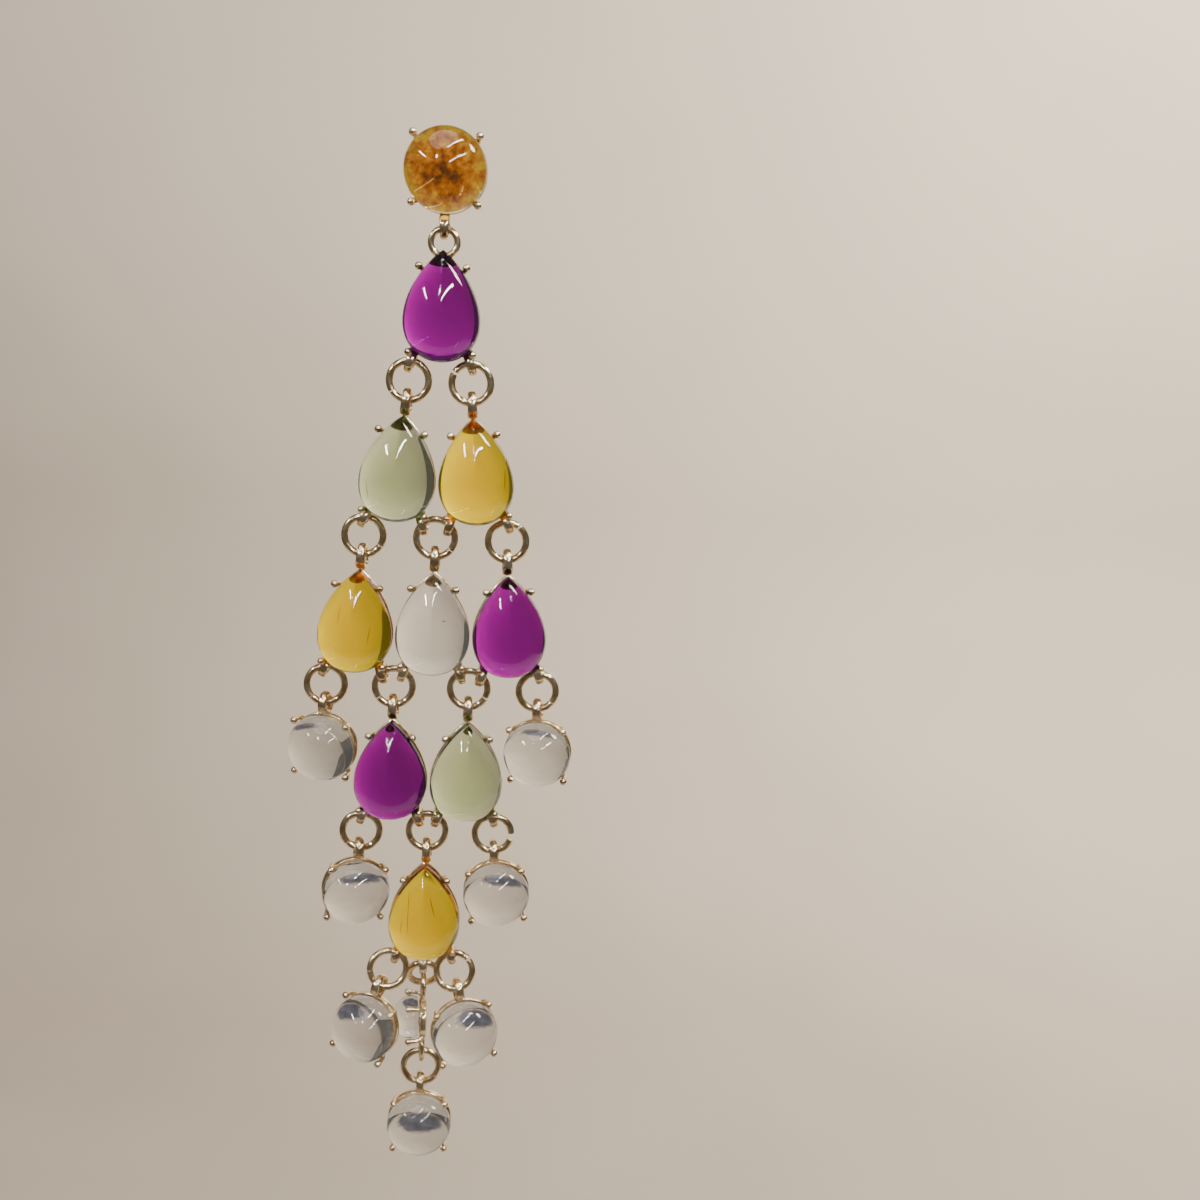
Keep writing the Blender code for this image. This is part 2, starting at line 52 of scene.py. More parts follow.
# Sizes of the CAD source, in metres, with the fillet round each stone's back
GAP = 0.25 * MM
LINK_GAP = 0.4 * MM
PEAR_WIDTH = 9.9 * MM
PEAR_LENGTH = 14.0 * MM
PEAR_TAPER = 0.7
PEAR_DOME = 3.9 * MM
ROUND_WIDTH = 9.3 * MM
ROUND_DOME = 3.7 * MM
LINK_WIDTH = 6.0 * MM
LINK_DOME = 2.8 * MM
STUD_WIDTH = 10.5 * MM
STUD_DOME = 4.0 * MM
GIRDLE = 0.8 * MM
BASE_INSET = 0.25 * MM
BACK_FILLET = 0.22 * MM
RIM_THICKNESS = 0.7 * MM
RIM_DEPTH = 0.9 * MM
CLAW_WIRE = 0.75 * MM
CLAW_BALL = 1.0 * MM
CLAW_RISE = 0.55 * MM
WEB_THICKNESS = 0.5 * MM
WEB_DROP = 2.3 * MM
LOOP_WIRE = 0.7 * MM
LOOP_BREADTH = 1.0 * MM
LOOP_HOLE = 1.8 * MM
LOOP_OUT = 0.2 * MM
PEAR_BAIL_STRETCH = 0.2 * MM
LOOP_SPLAY = radians(19)
LOOP_STATION = radians(144)
EYE_WIRE = 0.85 * MM
EYE_HOLE = 2.5 * MM
EYE_OVER_TIP = 1.0 * MM
LINK_EYE_WIRE = 0.75 * MM
LINK_EYE_HOLE = 2.1 * MM
LINK_EYE_STRETCH = 0.47 * MM
LINK_EYE_LAP = 0.2 * MM
RING_WIDTH = 6.0 * MM
SMALL_RING_WIDTH = 5.0 * MM
RING_WIRE = 0.95 * MM
PLATE_INSET = 0.45 * MM
PLATE_THICKNESS = 0.7 * MM
PLATE_LAP = 0.3 * MM
POST_WIRE = 0.9 * MM
POST_LENGTH = 11.0 * MM
APEX_DROP = 0.10

LATTICE = PEAR_WIDTH + GAP
STONE_BACK = RIM_DEPTH / 2 + GAP
LOOP_MEAN = (LOOP_HOLE + LOOP_WIRE) / 2
LOOP_PLAY = (LOOP_HOLE - RING_WIRE) / 2 - LINK_GAP
EYE_MEAN = (EYE_HOLE + EYE_WIRE) / 2
LINK_EYE_MEAN = (LINK_EYE_HOLE + LINK_EYE_WIRE) / 2
LINK_EYE_RISE = LINK_EYE_MEAN + LINK_EYE_STRETCH
LINK_EYE_PLAY = LINK_EYE_RISE - (LINK_EYE_WIRE + RING_WIRE) / 2 - LINK_GAP
LINK_EYE_OVER_EDGE = LINK_EYE_RISE - LINK_EYE_LAP
PLATE_WIDTH = STUD_WIDTH - 2 * PLATE_INSET
CHAIN_Y = -(PLATE_THICKNESS - PLATE_LAP + RIM_DEPTH / 2)

# How near a claw comes to its stone, how far out it bows, the depths of its two bends and
# how much thinner it is in the middle
GRIP = 0.08 * MM
CLAW_BOW = 1.15
CLAW_BENDS = 0.1 * MM, 1.0 * MM
CLAW_WAIST = 0.16

# How square the sections of the rims, webs and straps are: 1 is round and 0 is square
RIM_ROUNDNESS = 0.35
WEB_ROUNDNESS = 0.3
STRAP_ROUNDNESS = 0.75

# The plate's rolled edge, and the notch near the tip of the post that holds a nut
PLATE_ROLL = 0.2 * MM
NOTCH_FROM_TIP = 2.7 * MM
NOTCH_DEEPEST = 0.74

# The lacquer's gap and thickness, and how deep in a stone the dark slivers lie
LACQUER_GAP = 0.05 * MM
LACQUER_THICKNESS = 0.1 * MM
SLIVER_DEPTH = 1.1 * MM

# Where the claws stand round a stone, in degrees from its top
PEAR_CLAWS = (50, 141, 219, 310)
ROUND_CLAWS = (45, 135, 225, 315)

# The drops, as the CAD source hangs them. The place is how far from the middle a drop hangs,
# in half steps of the lattice, and None is straight down. Angles are in degrees.
DROPS = (
    # name, form, stone, hangs_on, place, lean, tilt, turn
    ("purple_1", "pear_top", "purple", "stud", 0, 0, 0, 0),
    ("green_1", "pear", "green", "ring_1_left", -1, 0, 0, -3),
    ("yellow_1", "pear", "yellow", "ring_1_right", 1, 0, 0, 1),
    ("yellow_2", "pear", "yellow", "ring_2_left", -2, 0, 0, -5),
    ("clear_1", "pear", "clear", "ring_2_middle", 0, 0, 0, 0),
    ("purple_2", "pear", "purple", "ring_2_right", 2, 0, 0, 4),
    ("round_1", "round", "clear", "ring_3_left", None, 0, 6, -16),
    ("purple_3", "pear", "purple", "ring_3_mid_left", -1, 0, 0, -3),
    ("green_2", "pear", "green", "ring_3_mid_right", 1, 0, 0, 3),
    ("round_2", "round", "clear", "ring_3_right", 2.95, 0, 6, -10),
    ("round_3", "round", "clear", "ring_4_left", -1.95, 0, 6, 12),
    ("yellow_3", "pear_foot", "yellow", "ring_4_middle", 0, 0, 0, 0),
    ("round_4", "round", "clear", "ring_4_right", 1.95, 0, 6, 0),
    ("round_5", "round", "clear", "ring_5_left", -1.73, 14, -3, -25),
    ("round_6", "round_link", "clear", "ring_5_middle", None, 0, 0, -84),
    ("round_7", "round", "clear", "ring_5_right", 1.32, -7, -3, 14),
    ("round_8", "round", "clear", "ring_6", None, 0, 3, 0),
)

# The jump rings. The cut is the angle from the top, clockwise from the front, at which the
# ends meet, gape is how far apart they stand and slip how far one lies forward. Angles are
# in degrees, gape and slip in millimetres.
RINGS = (
    # name, loops it hangs in, width, tilt, turn, cut, gape, slip
    ("ring_1_left", (("purple_1", "left"),), RING_WIDTH, 0, 0, 232, 0.10, 0.10),
    ("ring_1_right", (("purple_1", "right"),), RING_WIDTH, 0, 0, 305, 0.28, 0.22),
    ("ring_2_left", (("green_1", "left"),), RING_WIDTH, 0, 0, 118, 0.10, 0.06),
    ("ring_2_middle", (("green_1", "right"), ("yellow_1", "left")), RING_WIDTH, 0, 0, 128, 0.12, -0.08),
    ("ring_2_right", (("yellow_1", "right"),), RING_WIDTH, 0, 0, 40, 0.16, 0.15),
    ("ring_3_left", (("yellow_2", "left"),), RING_WIDTH, 0, 0, 228, 0.10, 0.10),
    ("ring_3_mid_left", (("yellow_2", "right"), ("clear_1", "left")), RING_WIDTH, 0, 0, 238, 0.12, 0.05),
    ("ring_3_mid_right", (("clear_1", "right"), ("purple_2", "left")), RING_WIDTH, 0, 0, 112, 0.14, 0.12),
    ("ring_3_right", (("purple_2", "right"),), RING_WIDTH, 0, 0, 130, 0.10, -0.06),
    ("ring_4_left", (("purple_3", "left"),), RING_WIDTH, 0, 0, 222, 0.12, 0.10),
    ("ring_4_middle", (("purple_3", "right"), ("green_2", "left")), RING_WIDTH, 0, 0, 242, 0.10, 0.05),
    ("ring_4_right", (("green_2", "right"),), RING_WIDTH, 0, 0, 102, 0.75, 0.30),
    ("ring_5_left", (("yellow_3", "left"),), RING_WIDTH, -15, 0, 240, 0.10, 0.10),
    ("ring_5_middle", (("yellow_3", "middle"),), SMALL_RING_WIDTH, 20, 2, 245, 0.08, 0.05),
    ("ring_5_right", (("yellow_3", "right"),), RING_WIDTH, -17, 0, 62, 0.22, 0.20),
    ("ring_6", (("round_6", "eye"),), RING_WIDTH, 0, 0, 125, 0.10, 0.08),
)

# Dark slivers, painted shade for streaks of refraction, and, last, a real speck cast into the stones,
# measured from each stone's middle
DARK_SLIVERS = (
    # drop, slot, top x, top z, foot x, foot z, width, in millimetres
    ("yellow_3", "resin_yellow", -1.6, 3.2, -1.75, -3.0, 0.10),
    ("yellow_3", "resin_yellow", 0.35, 2.5, 1.1, -0.4, 0.12),
    ("yellow_3", "resin_yellow", -2.4, -0.8, -2.5, -2.6, 0.10),
    ("yellow_2", "resin_yellow", -1.5, 1.8, -1.7, -0.6, 0.09),
    ("yellow_2", "resin_yellow", 1.7, -0.4, 1.5, -2.8, 0.09),
    ("yellow_1", "resin_yellow", 3.2, 0.2, 3.0, -2.4, 0.12),
    ("green_1", "resin_green", -3.1, -2.0, -2.7, -4.0, 0.10),
    ("clear_1", "resin_clear", 0.95, 0.55, 1.35, 0.5, 0.26),
)

# How finely the surfaces are divided
OUTLINE_STEPS = 96
BACK_STEPS = 7
FILLET_STEPS = 9
DOME_STEPS = 26
SECTION_STEPS = 20
WEB_STEPS = 41
BALL_STEPS = 15
CLAW_STEPS = 22
LOOP_STEPS = 48
RING_STEPS = 120
SLIVER_STEPS = 24
BEND_STEPS = 24

# The sweep's floor, wall and the bend between them, in metres
FLOOR_Z = -0.42
WALL_Y = 0.80
BEND = 0.28

# Long thin lights on the ceiling, in metres and watts
STRIPS = (
    # name, near end, far end, width, power
    ("strip_right", (0.56, -0.42, 0.50), (0.22, -1.90, 0.50), 0.018, 11),
    ("strip_left", (-0.80, -0.28, 0.50), (-0.92, -0.95, 0.50), 0.02, 6.5),
    ("strip_above", (0.30, -0.05, 0.60), (0.02, -0.62, 0.60), 0.018, 3.2),
)

# Other lights. The target is the point that each faces and the spread is in degrees.
LAMPS = (
    # name, shape, place, target, width and height, power, colour, spread
    ("ceiling_panel", "ELLIPSE", (-0.2, -0.5, 1.7), (0, 0, -0.1), (2.2, 1.6), 19, "#F2EDF6", 180),
    ("wall_wash", "RECTANGLE", (1, 0, 0.95), (0.46, 0.80, 0.2), (0.3, 0.3), 14.5, "#FFF6EA", 100),
    ("lamp_bar", "RECTANGLE", (-0.33, -0.87, 0.40), (0, 0, -0.06), (0.11, 0.02), 1.3, "#FFFFFF", 180),
    ("lamp_dot", "RECTANGLE", (-0.32, -0.87, 0.52), (0, 0, -0.06), (0.035, 0.035), 0.8, "#C4CEFF", 180),
)

# Where the strips face, and the camera: its place in millimetres, its pitch down, roll and
# turn in degrees, and its focal length and the picture's width in pixels
STRIP_TARGET = Vector((0, 0, -0.06))
CAMERA = ((22.3, -163.2, -21.3), 11.27, 3.18, -4.7, 1236)
PICTURE_WIDTH = 1200


# Where everything hangs


def stone_form(form):
    """Width, length, taper and dome of the stone in a drop of this form."""
    if form.startswith("pear"):
        return PEAR_WIDTH, PEAR_LENGTH, PEAR_TAPER, PEAR_DOME
    if form == "round_link":
        return LINK_WIDTH, LINK_WIDTH, 0, LINK_DOME
    return ROUND_WIDTH, ROUND_WIDTH, 0, ROUND_DOME


def bail_rise(form):
    """Half the height of the bail, to the middle of its wire."""
    return LOOP_MEAN + (PEAR_BAIL_STRETCH if form.startswith("pear") else 0)


def stone_middle(form):
    """How high the middle of the stone lies from the hook point of its drop."""
    length = stone_form(form)[1]
    if form == "pear_top":
        top = -(EYE_MEAN + EYE_OVER_TIP)
    elif form == "round_link":
        top = -(LINK_EYE_PLAY + LINK_EYE_OVER_EDGE)
    else:
        rise = bail_rise(form)
        top = -(rise - LOOP_MEAN + LOOP_PLAY + rise + LOOP_OUT)
    return top - length / 2


def faceted_edge(angle, width, length, taper):
    """The point of the CAD source's sixteen sided outline at an angle."""
    step = 2 * pi / 16
    corner = angle // step
    share = angle / step - corner
    x, z = outline(np.array([corner, corner + 1]) * step, width, length, taper)
    return x[0] + (x[1] - x[0]) * share, z[0] + (z[1] - z[0]) * share


def bottom_loops(form):
    """The holes at the foot of a drop: the place of each, its splay and the ring's play."""
    width, length, taper, _ = stone_form(form)
    middle = stone_middle(form)
    edge_x, edge_z = faceted_edge(LOOP_STATION, width, length, taper)
    out = LOOP_OUT + LOOP_MEAN
    x = edge_x + sin(LOOP_SPLAY) * out
    z = middle + edge_z - cos(LOOP_SPLAY) * out
    foot = middle - length / 2
    holes = {}
    if form.startswith("pear"):
        holes["left"] = Vector((-x, 0, z)), -LOOP_SPLAY, LOOP_PLAY
        holes["right"] = Vector((x, 0, z)), LOOP_SPLAY, LOOP_PLAY
    if form == "pear_foot":
        holes["middle"] = Vector((0, 0, foot - out)), 0, LOOP_PLAY
    if form == "round_link":
        holes["eye"] = Vector((0, 0, foot - LINK_EYE_OVER_EDGE)), 0, LINK_EYE_PLAY
    return holes


def stud_bail_z():
    """The height of the middle of the stud's bail."""
    return -(STUD_WIDTH / 2 + LOOP_OUT + LOOP_MEAN)


def hang_frame(point, lean, tilt, turn):
    """The place and turn of something hung at a point: turned, tilted, then leaned."""
    turned = Matrix.Rotation(turn, 4, "Z")
    tilted = Matrix.Rotation(tilt, 4, "X")
    leaned = Matrix.Rotation(-lean, 4, "Y")
    return Matrix.Translation(point) @ leaned @ tilted @ turned


def plumb(lean, tilt):
    """The direction down a hung piece."""
    return (hang_frame(Vector(), lean, tilt, 0) @ Vector((0, 0, -1))).normalized()


def hang_everything():
    """Frames of the drops and jump rings, worked out from the stud down."""
    frames = {"stud": Matrix.Translation((0, CHAIN_Y, 0))}
    forms = {name: form for name, form, *_ in DROPS}
    rings = {name: row for name, *row in RINGS}
    for name, form, _, hangs_on, place, lean, tilt, turn in DROPS:
        lean, tilt, turn = radians(lean), radians(tilt), radians(turn)
        if hangs_on == "stud":
            height = stud_bail_z() - LOOP_MEAN + LOOP_WIRE / 2 + GAP + EYE_WIRE / 2
            frames[name] = hang_frame(Vector((0, CHAIN_Y, height)), lean, tilt, turn)
            continue
        loops, width, ring_tilt, ring_turn, *_ = rings[hangs_on]
        ring_tilt = radians(ring_tilt)
        ring_mean = (width - RING_WIRE) / 2
        holes = []
        for upper, side in loops:
            hole, _, play = bottom_loops(forms[upper])[side]
            holes.append(frames[upper] @ hole)
        across = holes[-1] - holes[0]
        ring_turn = radians(ring_turn) + atan2(across.y, across.x)
        spread = across.length / 2
        top = (holes[0] + holes[-1]) / 2
        reach = sqrt((ring_mean + play) ** 2 - spread**2)
        _, length, taper, _ = stone_form(form)
        to_belly = ring_mean - stone_middle(form) + (APEX_DROP * length if taper else 0)
        held_at = top.x if place is None else place * LATTICE / 2
        if spread:
            ring_lean = atan2(across.z, sqrt(across.x**2 + across.y**2))
        else:
            ring_lean = asin((held_at - top.x) / (reach + to_belly))
        centre = top + plumb(ring_lean, ring_tilt) * reach
        hook_lean = asin((held_at - centre.x) / to_belly)
        frames[hangs_on] = hang_frame(centre, ring_lean, ring_tilt, ring_turn)
        hook = centre + plumb(hook_lean, ring_tilt) * ring_mean
        frames[name] = hang_frame(hook, hook_lean + lean, tilt, turn)
    return frames


# Surfaces. Each is an array of rows and columns of points, closed round its columns.


def outline(angle, width, length, taper):
    """Half width sin(a) * sin(a / 2) ** taper, made to reach the width, height cos(a)."""
    widest = 2 * asin(sqrt((1 + taper) / (2 + taper)))
    full = sin(widest) * sin(widest / 2) ** taper
    x = np.sin(angle) * np.abs(np.sin(angle / 2)) ** taper / full * width / 2
    return x, np.cos(angle) * length / 2


def outline_drawn_in(angle, inset, width, length, taper):
    """The outline drawn in by inset, and by more at the tip, as a parallel curve is."""
    low = -length / 2 + inset
    high = length / 2 - inset * (1 + taper)
    x, z = outline(angle, width - 2 * inset, high - low, taper)
    return x, z + (low + high) / 2


def outward(angle, width, length, taper):
    """The outward direction across the outline: its tangent turned a quarter turn."""
    step = 0.01
    x0, z0 = outline(angle - step, width, length, taper)
    x1, z1 = outline(angle + step, width, length, taper)
    size = np.hypot(x1 - x0, z1 - z0)
    return -(z1 - z0) / size, (x1 - x0) / size


def around(steps):
    """Angles once round, without the last that meets the first."""
    return np.linspace(0, 2 * pi, steps, endpoint=False)


def squared(turn, power):
    """A superellipse's two directions: the cosine and sine of a turn, each to a power."""
    side, rise = np.cos(turn), np.sin(turn)
    return np.sign(side) * np.abs(side) ** power, np.sign(rise) * np.abs(rise) ** power


def points_of(x, y, z):
    """One array of points from three that broadcast together."""
    return np.stack(np.broadcast_arrays(x, y, z), axis=-1)


def cabochon(width, length, taper, dome, centre_z):
    """Back, girdle and dome of a stone, from the middle of its back to its apex.

    The outline is scaled by a share towards a centre. On the dome the share is cos(t) and
    the depth sin(t), so the dome is a quarter ellipse from the girdle to the apex.
    """
    half = width / 2
    rise = np.linspace(0, pi / 2, FILLET_STEPS)
    flat = np.linspace(0, 1 - (BASE_INSET + BACK_FILLET) / half, BACK_STEPS)
    turned = 1 - (BASE_INSET + BACK_FILLET * (1 - np.sin(rise))) / half
    dome_turn = np.linspace(0, pi / 2, DOME_STEPS)
    share = np.concatenate([flat, turned[1:], np.cos(dome_turn)])
    depth = np.concatenate(
        [
            np.zeros_like(flat),
            BACK_FILLET * (1 - np.cos(rise[1:])),
            GIRDLE + dome * np.sin(dome_turn),
        ]
    )
    apex = -APEX_DROP * length if taper else 0
    centre = np.where(np.arange(len(share)) < len(share) - DOME_STEPS, 0, apex)
    x, z = outline(around(OUTLINE_STEPS), width, length, taper)
    share, depth, centre = share[:, None], depth[:, None], centre[:, None]
    return points_of(x * share, -STONE_BACK - depth, centre_z + centre + (z - centre) * share)


def rim(width, length, taper, centre_z):
    """The open band behind a stone: a rounded oblong section carried round the outline.

    The section is a superellipse of so low a power that it is nearly square.
    """
    side, depth = squared(around(SECTION_STEPS)[:, None], RIM_ROUNDNESS)
    inset = RIM_THICKNESS / 2 * (1 - side)
    x, z = outline_drawn_in(around(OUTLINE_STEPS), inset, width, length, taper)
    band = points_of(x, depth * RIM_DEPTH / 2, z + centre_z)
    return np.concatenate([band, band[:1]])


def web(centre_z):
    """The plate behind the tip of a pear, its lower edge cut straight.

    Each column runs round a flat oblong section, from the outline down to the straight edge.
    """
    inset = RIM_THICKNESS / 2
    half = PEAR_LENGTH / 2
    spread = np.arccos((half - WEB_DROP) / half)
    angle = np.linspace(-spread, spread, WEB_STEPS)[:, None]
    x, z = outline(angle, PEAR_WIDTH - 2 * inset, PEAR_LENGTH - 2 * inset, PEAR_TAPER)
    chord = z[0, 0]
    side, depth = squared(around(SECTION_STEPS), WEB_ROUNDNESS)
    height = z + (chord - z) * (1 - side) / 2
    closing = np.where((z - chord) > 1e-6, WEB_THICKNESS / 2, 0)
    return points_of(x, depth * closing, centre_z + height - inset)


def tube(path, along_across, along_side, across, power=1.0):
    """A section carried along a flat path, half as wide as given across and to the side.

    The side is the path's tangent crossed with the direction across. The section is a
    superellipse of that power, and 1 is an ellipse.
    """
    tangent = np.gradient(path, axis=0)
    tangent /= np.linalg.norm(tangent, axis=1, keepdims=True)
    across = np.broadcast_to(np.asarray(across, float), path.shape)
    side = np.cross(tangent, across)
    out, up = squared(around(SECTION_STEPS), power)
    wide = (np.ones(len(path)) * along_across)[:, None, None] * out[None, :, None]
    high = (np.ones(len(path)) * along_side)[:, None, None] * up[None, :, None]
    return path[:, None, :] + across[:, None, :] * wide + side[:, None, :] * high


def closed_tube(path, along_across, along_side, across, power=1.0):
    """A tube along a path that comes back to its start."""
    longer = np.concatenate([path[-2:], path, path[:2]])
    sizes = [np.ones(len(path)) * size for size in (along_across, along_side)]
    sizes = [np.concatenate([size[-2:], size, size[:2]]) for size in sizes]
    made = tube(longer, *sizes, across, power)[2:-2]
    return np.concatenate([made, made[:1]])


def ball(centre, radius):
    """A sphere, from pole to pole along Y."""
    rise = np.linspace(-pi / 2, pi / 2, BALL_STEPS)[:, None]
    turn = around(SECTION_STEPS)
    x = np.cos(rise) * np.cos(turn) * radius
    z = np.cos(rise) * np.sin(turn) * radius
    return points_of(x + centre[0], np.sin(rise) * radius + centre[1], z + centre[2])


def claw(angle, width, length, taper, centre_z):
    """A claw's two surfaces: a Bezier curve from the rim past the girdle, and its ball."""
    edge = [float(v) for v in outline(angle, width, length, taper)]
    out = [float(v) for v in outward(angle, width, length, taper)]
    bowed = (CLAW_WIRE / 2 + GRIP) * CLAW_BOW
    guide = (
        # out from the edge, y
        (-RIM_THICKNESS / 2, 0),
        (bowed, -CLAW_BENDS[0]),
        (bowed, -CLAW_BENDS[1]),
        (CLAW_BALL / 2 + GRIP, -(STONE_BACK + GIRDLE + CLAW_RISE)),
    )
    t = np.linspace(0, 1, CLAW_STEPS)[:, None]
    weights = ((1 - t) ** 3, 3 * (1 - t) ** 2 * t, 3 * (1 - t) * t**2, t**3)
    flat = sum(weight * np.array(point) for weight, point in zip(weights, guide))
    path = np.stack(
        [
            edge[0] + out[0] * flat[:, 0],
            flat[:, 1],
            centre_z + edge[1] + out[1] * flat[:, 0],
        ],
        axis=1,
    )
    thick = CLAW_WIRE / 2 * (1 - CLAW_WAIST * np.sin(pi * t[:, 0]) ** 2)
    return [
        tube(path, thick * 1.08, thick, (-out[1], 0, out[0])),
        ball(path[-1], CLAW_BALL / 2),
    ]


def strap_loop(centre, rise, splay, flare):
    """A strap bent into a loop round X: an upright ellipse, wider by flare at its root.

    The root is the foot where flare is above nil, and the top where it is below.
    """
    turn = around(LOOP_STEPS)
    path = np.stack([0 * turn, LOOP_MEAN * np.cos(turn), rise * np.sin(turn)], axis=1)
    root = (1 - np.sin(turn)) / 2 if flare > 0 else (1 + np.sin(turn)) / 2
    broad = LOOP_BREADTH / 2 * (1.1 + abs(flare) * root**2)
    made = closed_tube(path, broad, LOOP_WIRE / 2, (1, 0, 0), STRAP_ROUNDNESS)
    x = made[..., 0] * cos(splay) - made[..., 2] * sin(splay)
    z = made[..., 0] * sin(splay) + made[..., 2] * cos(splay)
    return points_of(x + centre[0], made[..., 1] + centre[1], z + centre[2])


def flat_eye(mean_radius, rise, wire, centre_z):
    """An eye in the plane of the setting: an ellipse of round wire."""
    turn = around(LOOP_STEPS)
    path = np.stack(
        [mean_radius * np.cos(turn), 0 * turn, centre_z + rise * np.sin(turn)], axis=1
    )
    return closed_tube(path, wire / 2, wire / 2, (0, 1, 0))


def setting(form):
    """Every surface of a drop's setting."""
    width, length, taper, _ = stone_form(form)
    middle = stone_middle(form)
    made = [rim(width, length, taper, middle)]
    for degrees in PEAR_CLAWS if taper else ROUND_CLAWS:
        made += claw(radians(degrees), width, length, taper, middle)
    if taper:
        made.append(web(middle))
    if form == "pear_top":
        made.append(flat_eye(EYE_MEAN, EYE_MEAN, EYE_WIRE, -EYE_MEAN))
    elif form == "round_link":
        made.append(flat_eye(LINK_EYE_MEAN, LINK_EYE_RISE, LINK_EYE_WIRE, -LINK_EYE_PLAY))
    else:
        rise = bail_rise(form)
        made.append(strap_loop((0, 0, LOOP_MEAN - LOOP_PLAY - rise), rise, 0, 0.35))
    for side, (place, splay, _) in bottom_loops(form).items():
        if side == "eye":
            made.append(flat_eye(LINK_EYE_MEAN, LINK_EYE_RISE, LINK_EYE_WIRE, place.z))
        else:
            made.append(strap_loop(place, LOOP_MEAN, splay, -0.25))
    return made


def turned_on_y(profile):
    """A profile of (depth, radius) rows turned round the Y axis."""
    depth, radius = np.array(profile).T[:, :, None]
    turn = around(OUTLINE_STEPS)
    return points_of(radius * np.cos(turn), depth, radius * np.sin(turn))


def plate_and_post():
    """The back plate with rolled edges, and the ear post with its notch and round end."""
    back = -CHAIN_Y
    front = back - PLATE_THICKNESS
    radius = PLATE_WIDTH / 2
    rolled = PLATE_ROLL * 0.3
    post = POST_WIRE / 2
    tip = back + POST_LENGTH
    notch = tip - NOTCH_FROM_TIP
    return turned_on_y(
        (
            # depth, radius
            (front, 0),
            (front, radius * 0.6),
            (front, radius - PLATE_ROLL),
            (front + rolled, radius - rolled),
            (front + PLATE_ROLL, radius),
            (back - PLATE_ROLL, radius),
            (back - rolled, radius - rolled),
            (back, radius - PLATE_ROLL),
            (back, post * 2.2),
            (back + PLATE_ROLL * 0.4, post * 1.5),
            (back + PLATE_ROLL * 1.5, post * 1.12),
            (back + PLATE_ROLL * 3, post),
            (notch - 0.5 * MM, post),
            (notch - 0.3 * MM, post * 0.8),
            (notch, post * NOTCH_DEEPEST),
            (notch + 0.3 * MM, post * 0.8),
            (notch + 0.5 * MM, post),
            (tip - post * 1.1, post),
            (tip - post * 0.5, post * 0.8),
            (tip - post * 0.15, post * 0.45),
            (tip, 0),
        )
    )


def stud_setting():
    """Every surface of the stud's setting."""
    made = [rim(STUD_WIDTH, STUD_WIDTH, 0, 0), plate_and_post()]
    for degrees in ROUND_CLAWS:
        made += claw(radians(degrees), STUD_WIDTH, STUD_WIDTH, 0, 0)
    made.append(strap_loop((0, 0, stud_bail_z()), LOOP_MEAN, 0, -0.3))
    return made


def jump_ring(width, cut, gape, slip):
    """Round wire bent once round, its two ends filed square with a small bevel.

    The path is a circle from one side of the cut to the other. The first end lies forward
    by slip and the other back by 0.4 of it, each fading out over a third of the turn.
    """
    mean = (width - RING_WIRE) / 2
    half_gape = gape * MM / mean / 2
    share = np.concatenate([[0, 0, 0.001], np.linspace(0.004, 0.996, RING_STEPS), [0.999, 1, 1]])
    angle = radians(cut) + half_gape + (2 * pi - 2 * half_gape) * share
    first, last = np.clip(1 - share * 3, 0, 1), np.clip(share * 3 - 2, 0, 1)
    lift = slip * MM * (first**2 - 0.4 * last**2)
    path = np.stack([mean * np.sin(angle), -lift, mean * np.cos(angle)], axis=1)
    size = np.full(len(share), RING_WIRE / 2)
    size[[0, -1]] = 0
    size[[1, -2]] *= 0.86
    tangent = np.stack([np.cos(angle), 0 * angle, -np.sin(angle)], axis=1)
    side = np.cross(tangent, (0, 1, 0))
    turn = around(SECTION_STEPS)
    across = np.array((0, 1, 0)) * np.cos(turn)[None, :, None]
    up = side[:, None, :] * np.sin(turn)[None, :, None]
    return path[:, None, :] + (across + up) * size[:, None, None]


def dark_sliver(top_x, top_z, foot_x, foot_z, width, centre_z):
    """A thin sliver inside a stone, pointed at both ends: width times a root of a half sine."""
    t = np.linspace(0, 1, SLIVER_STEPS)
    path = np.stack(
        [
            (top_x + (foot_x - top_x) * t) * MM,
            np.full(SLIVER_STEPS, -STONE_BACK - SLIVER_DEPTH),
            centre_z + (top_z + (foot_z - top_z) * t) * MM,
        ],
        axis=1,
    )
    size = width / 2 * MM * np.sin(pi * t) ** 0.6
    return tube(path, size, size * 0.5, (0, 1, 0))


# Materials


def linear(code):
    """An sRGB hex colour as linear numbers."""
    value = np.array([int(code[i : i + 2], 16) / 255 for i in (1, 3, 5)])
    value = np.where(value <= 0.04045, value / 12.92, ((value + 0.055) / 1.055) ** 2.4)
    return (*value, 1.0)


def fill(tree, node, inputs):
    """Gives a node's inputs their values, or links them to a socket or a first output."""
    for key, value in inputs.items():
        if isinstance(value, bpy.types.Node):
            value = value.outputs[0]
        if isinstance(value, bpy.types.NodeSocket):
            tree.links.new(value, node.inputs[key])
        else:
            node.inputs[key].default_value = value


def add_node(tree, kind, settings, inputs, stops=()):
    """Adds a node with its settings, its inputs and a colour ramp's (place, colour) stops."""
    made = tree.nodes.new("ShaderNode" + kind)
    for key, value in settings.items():
        setattr(made, key, value)
    fill(tree, made, inputs)
    if stops:
        elements = made.color_ramp.elements
        elements.remove(elements[1])
        elements[0].position, elements[0].color = stops[0]
        for place, colour in stops[1:]:
            elements.new(place).color = colour
    return made


def new_material(name, values):
    """A material with its tree, its shader with these values, and object coordinates."""
    material = bpy.data.materials.new(name)
    material.use_nodes = True
    tree = material.node_tree
    shader = tree.nodes["Principled BSDF"]
    fill(tree, shader, values)
    return material, tree, shader, add_node(tree, "TexCoord", {}, {}).outputs["Object"]


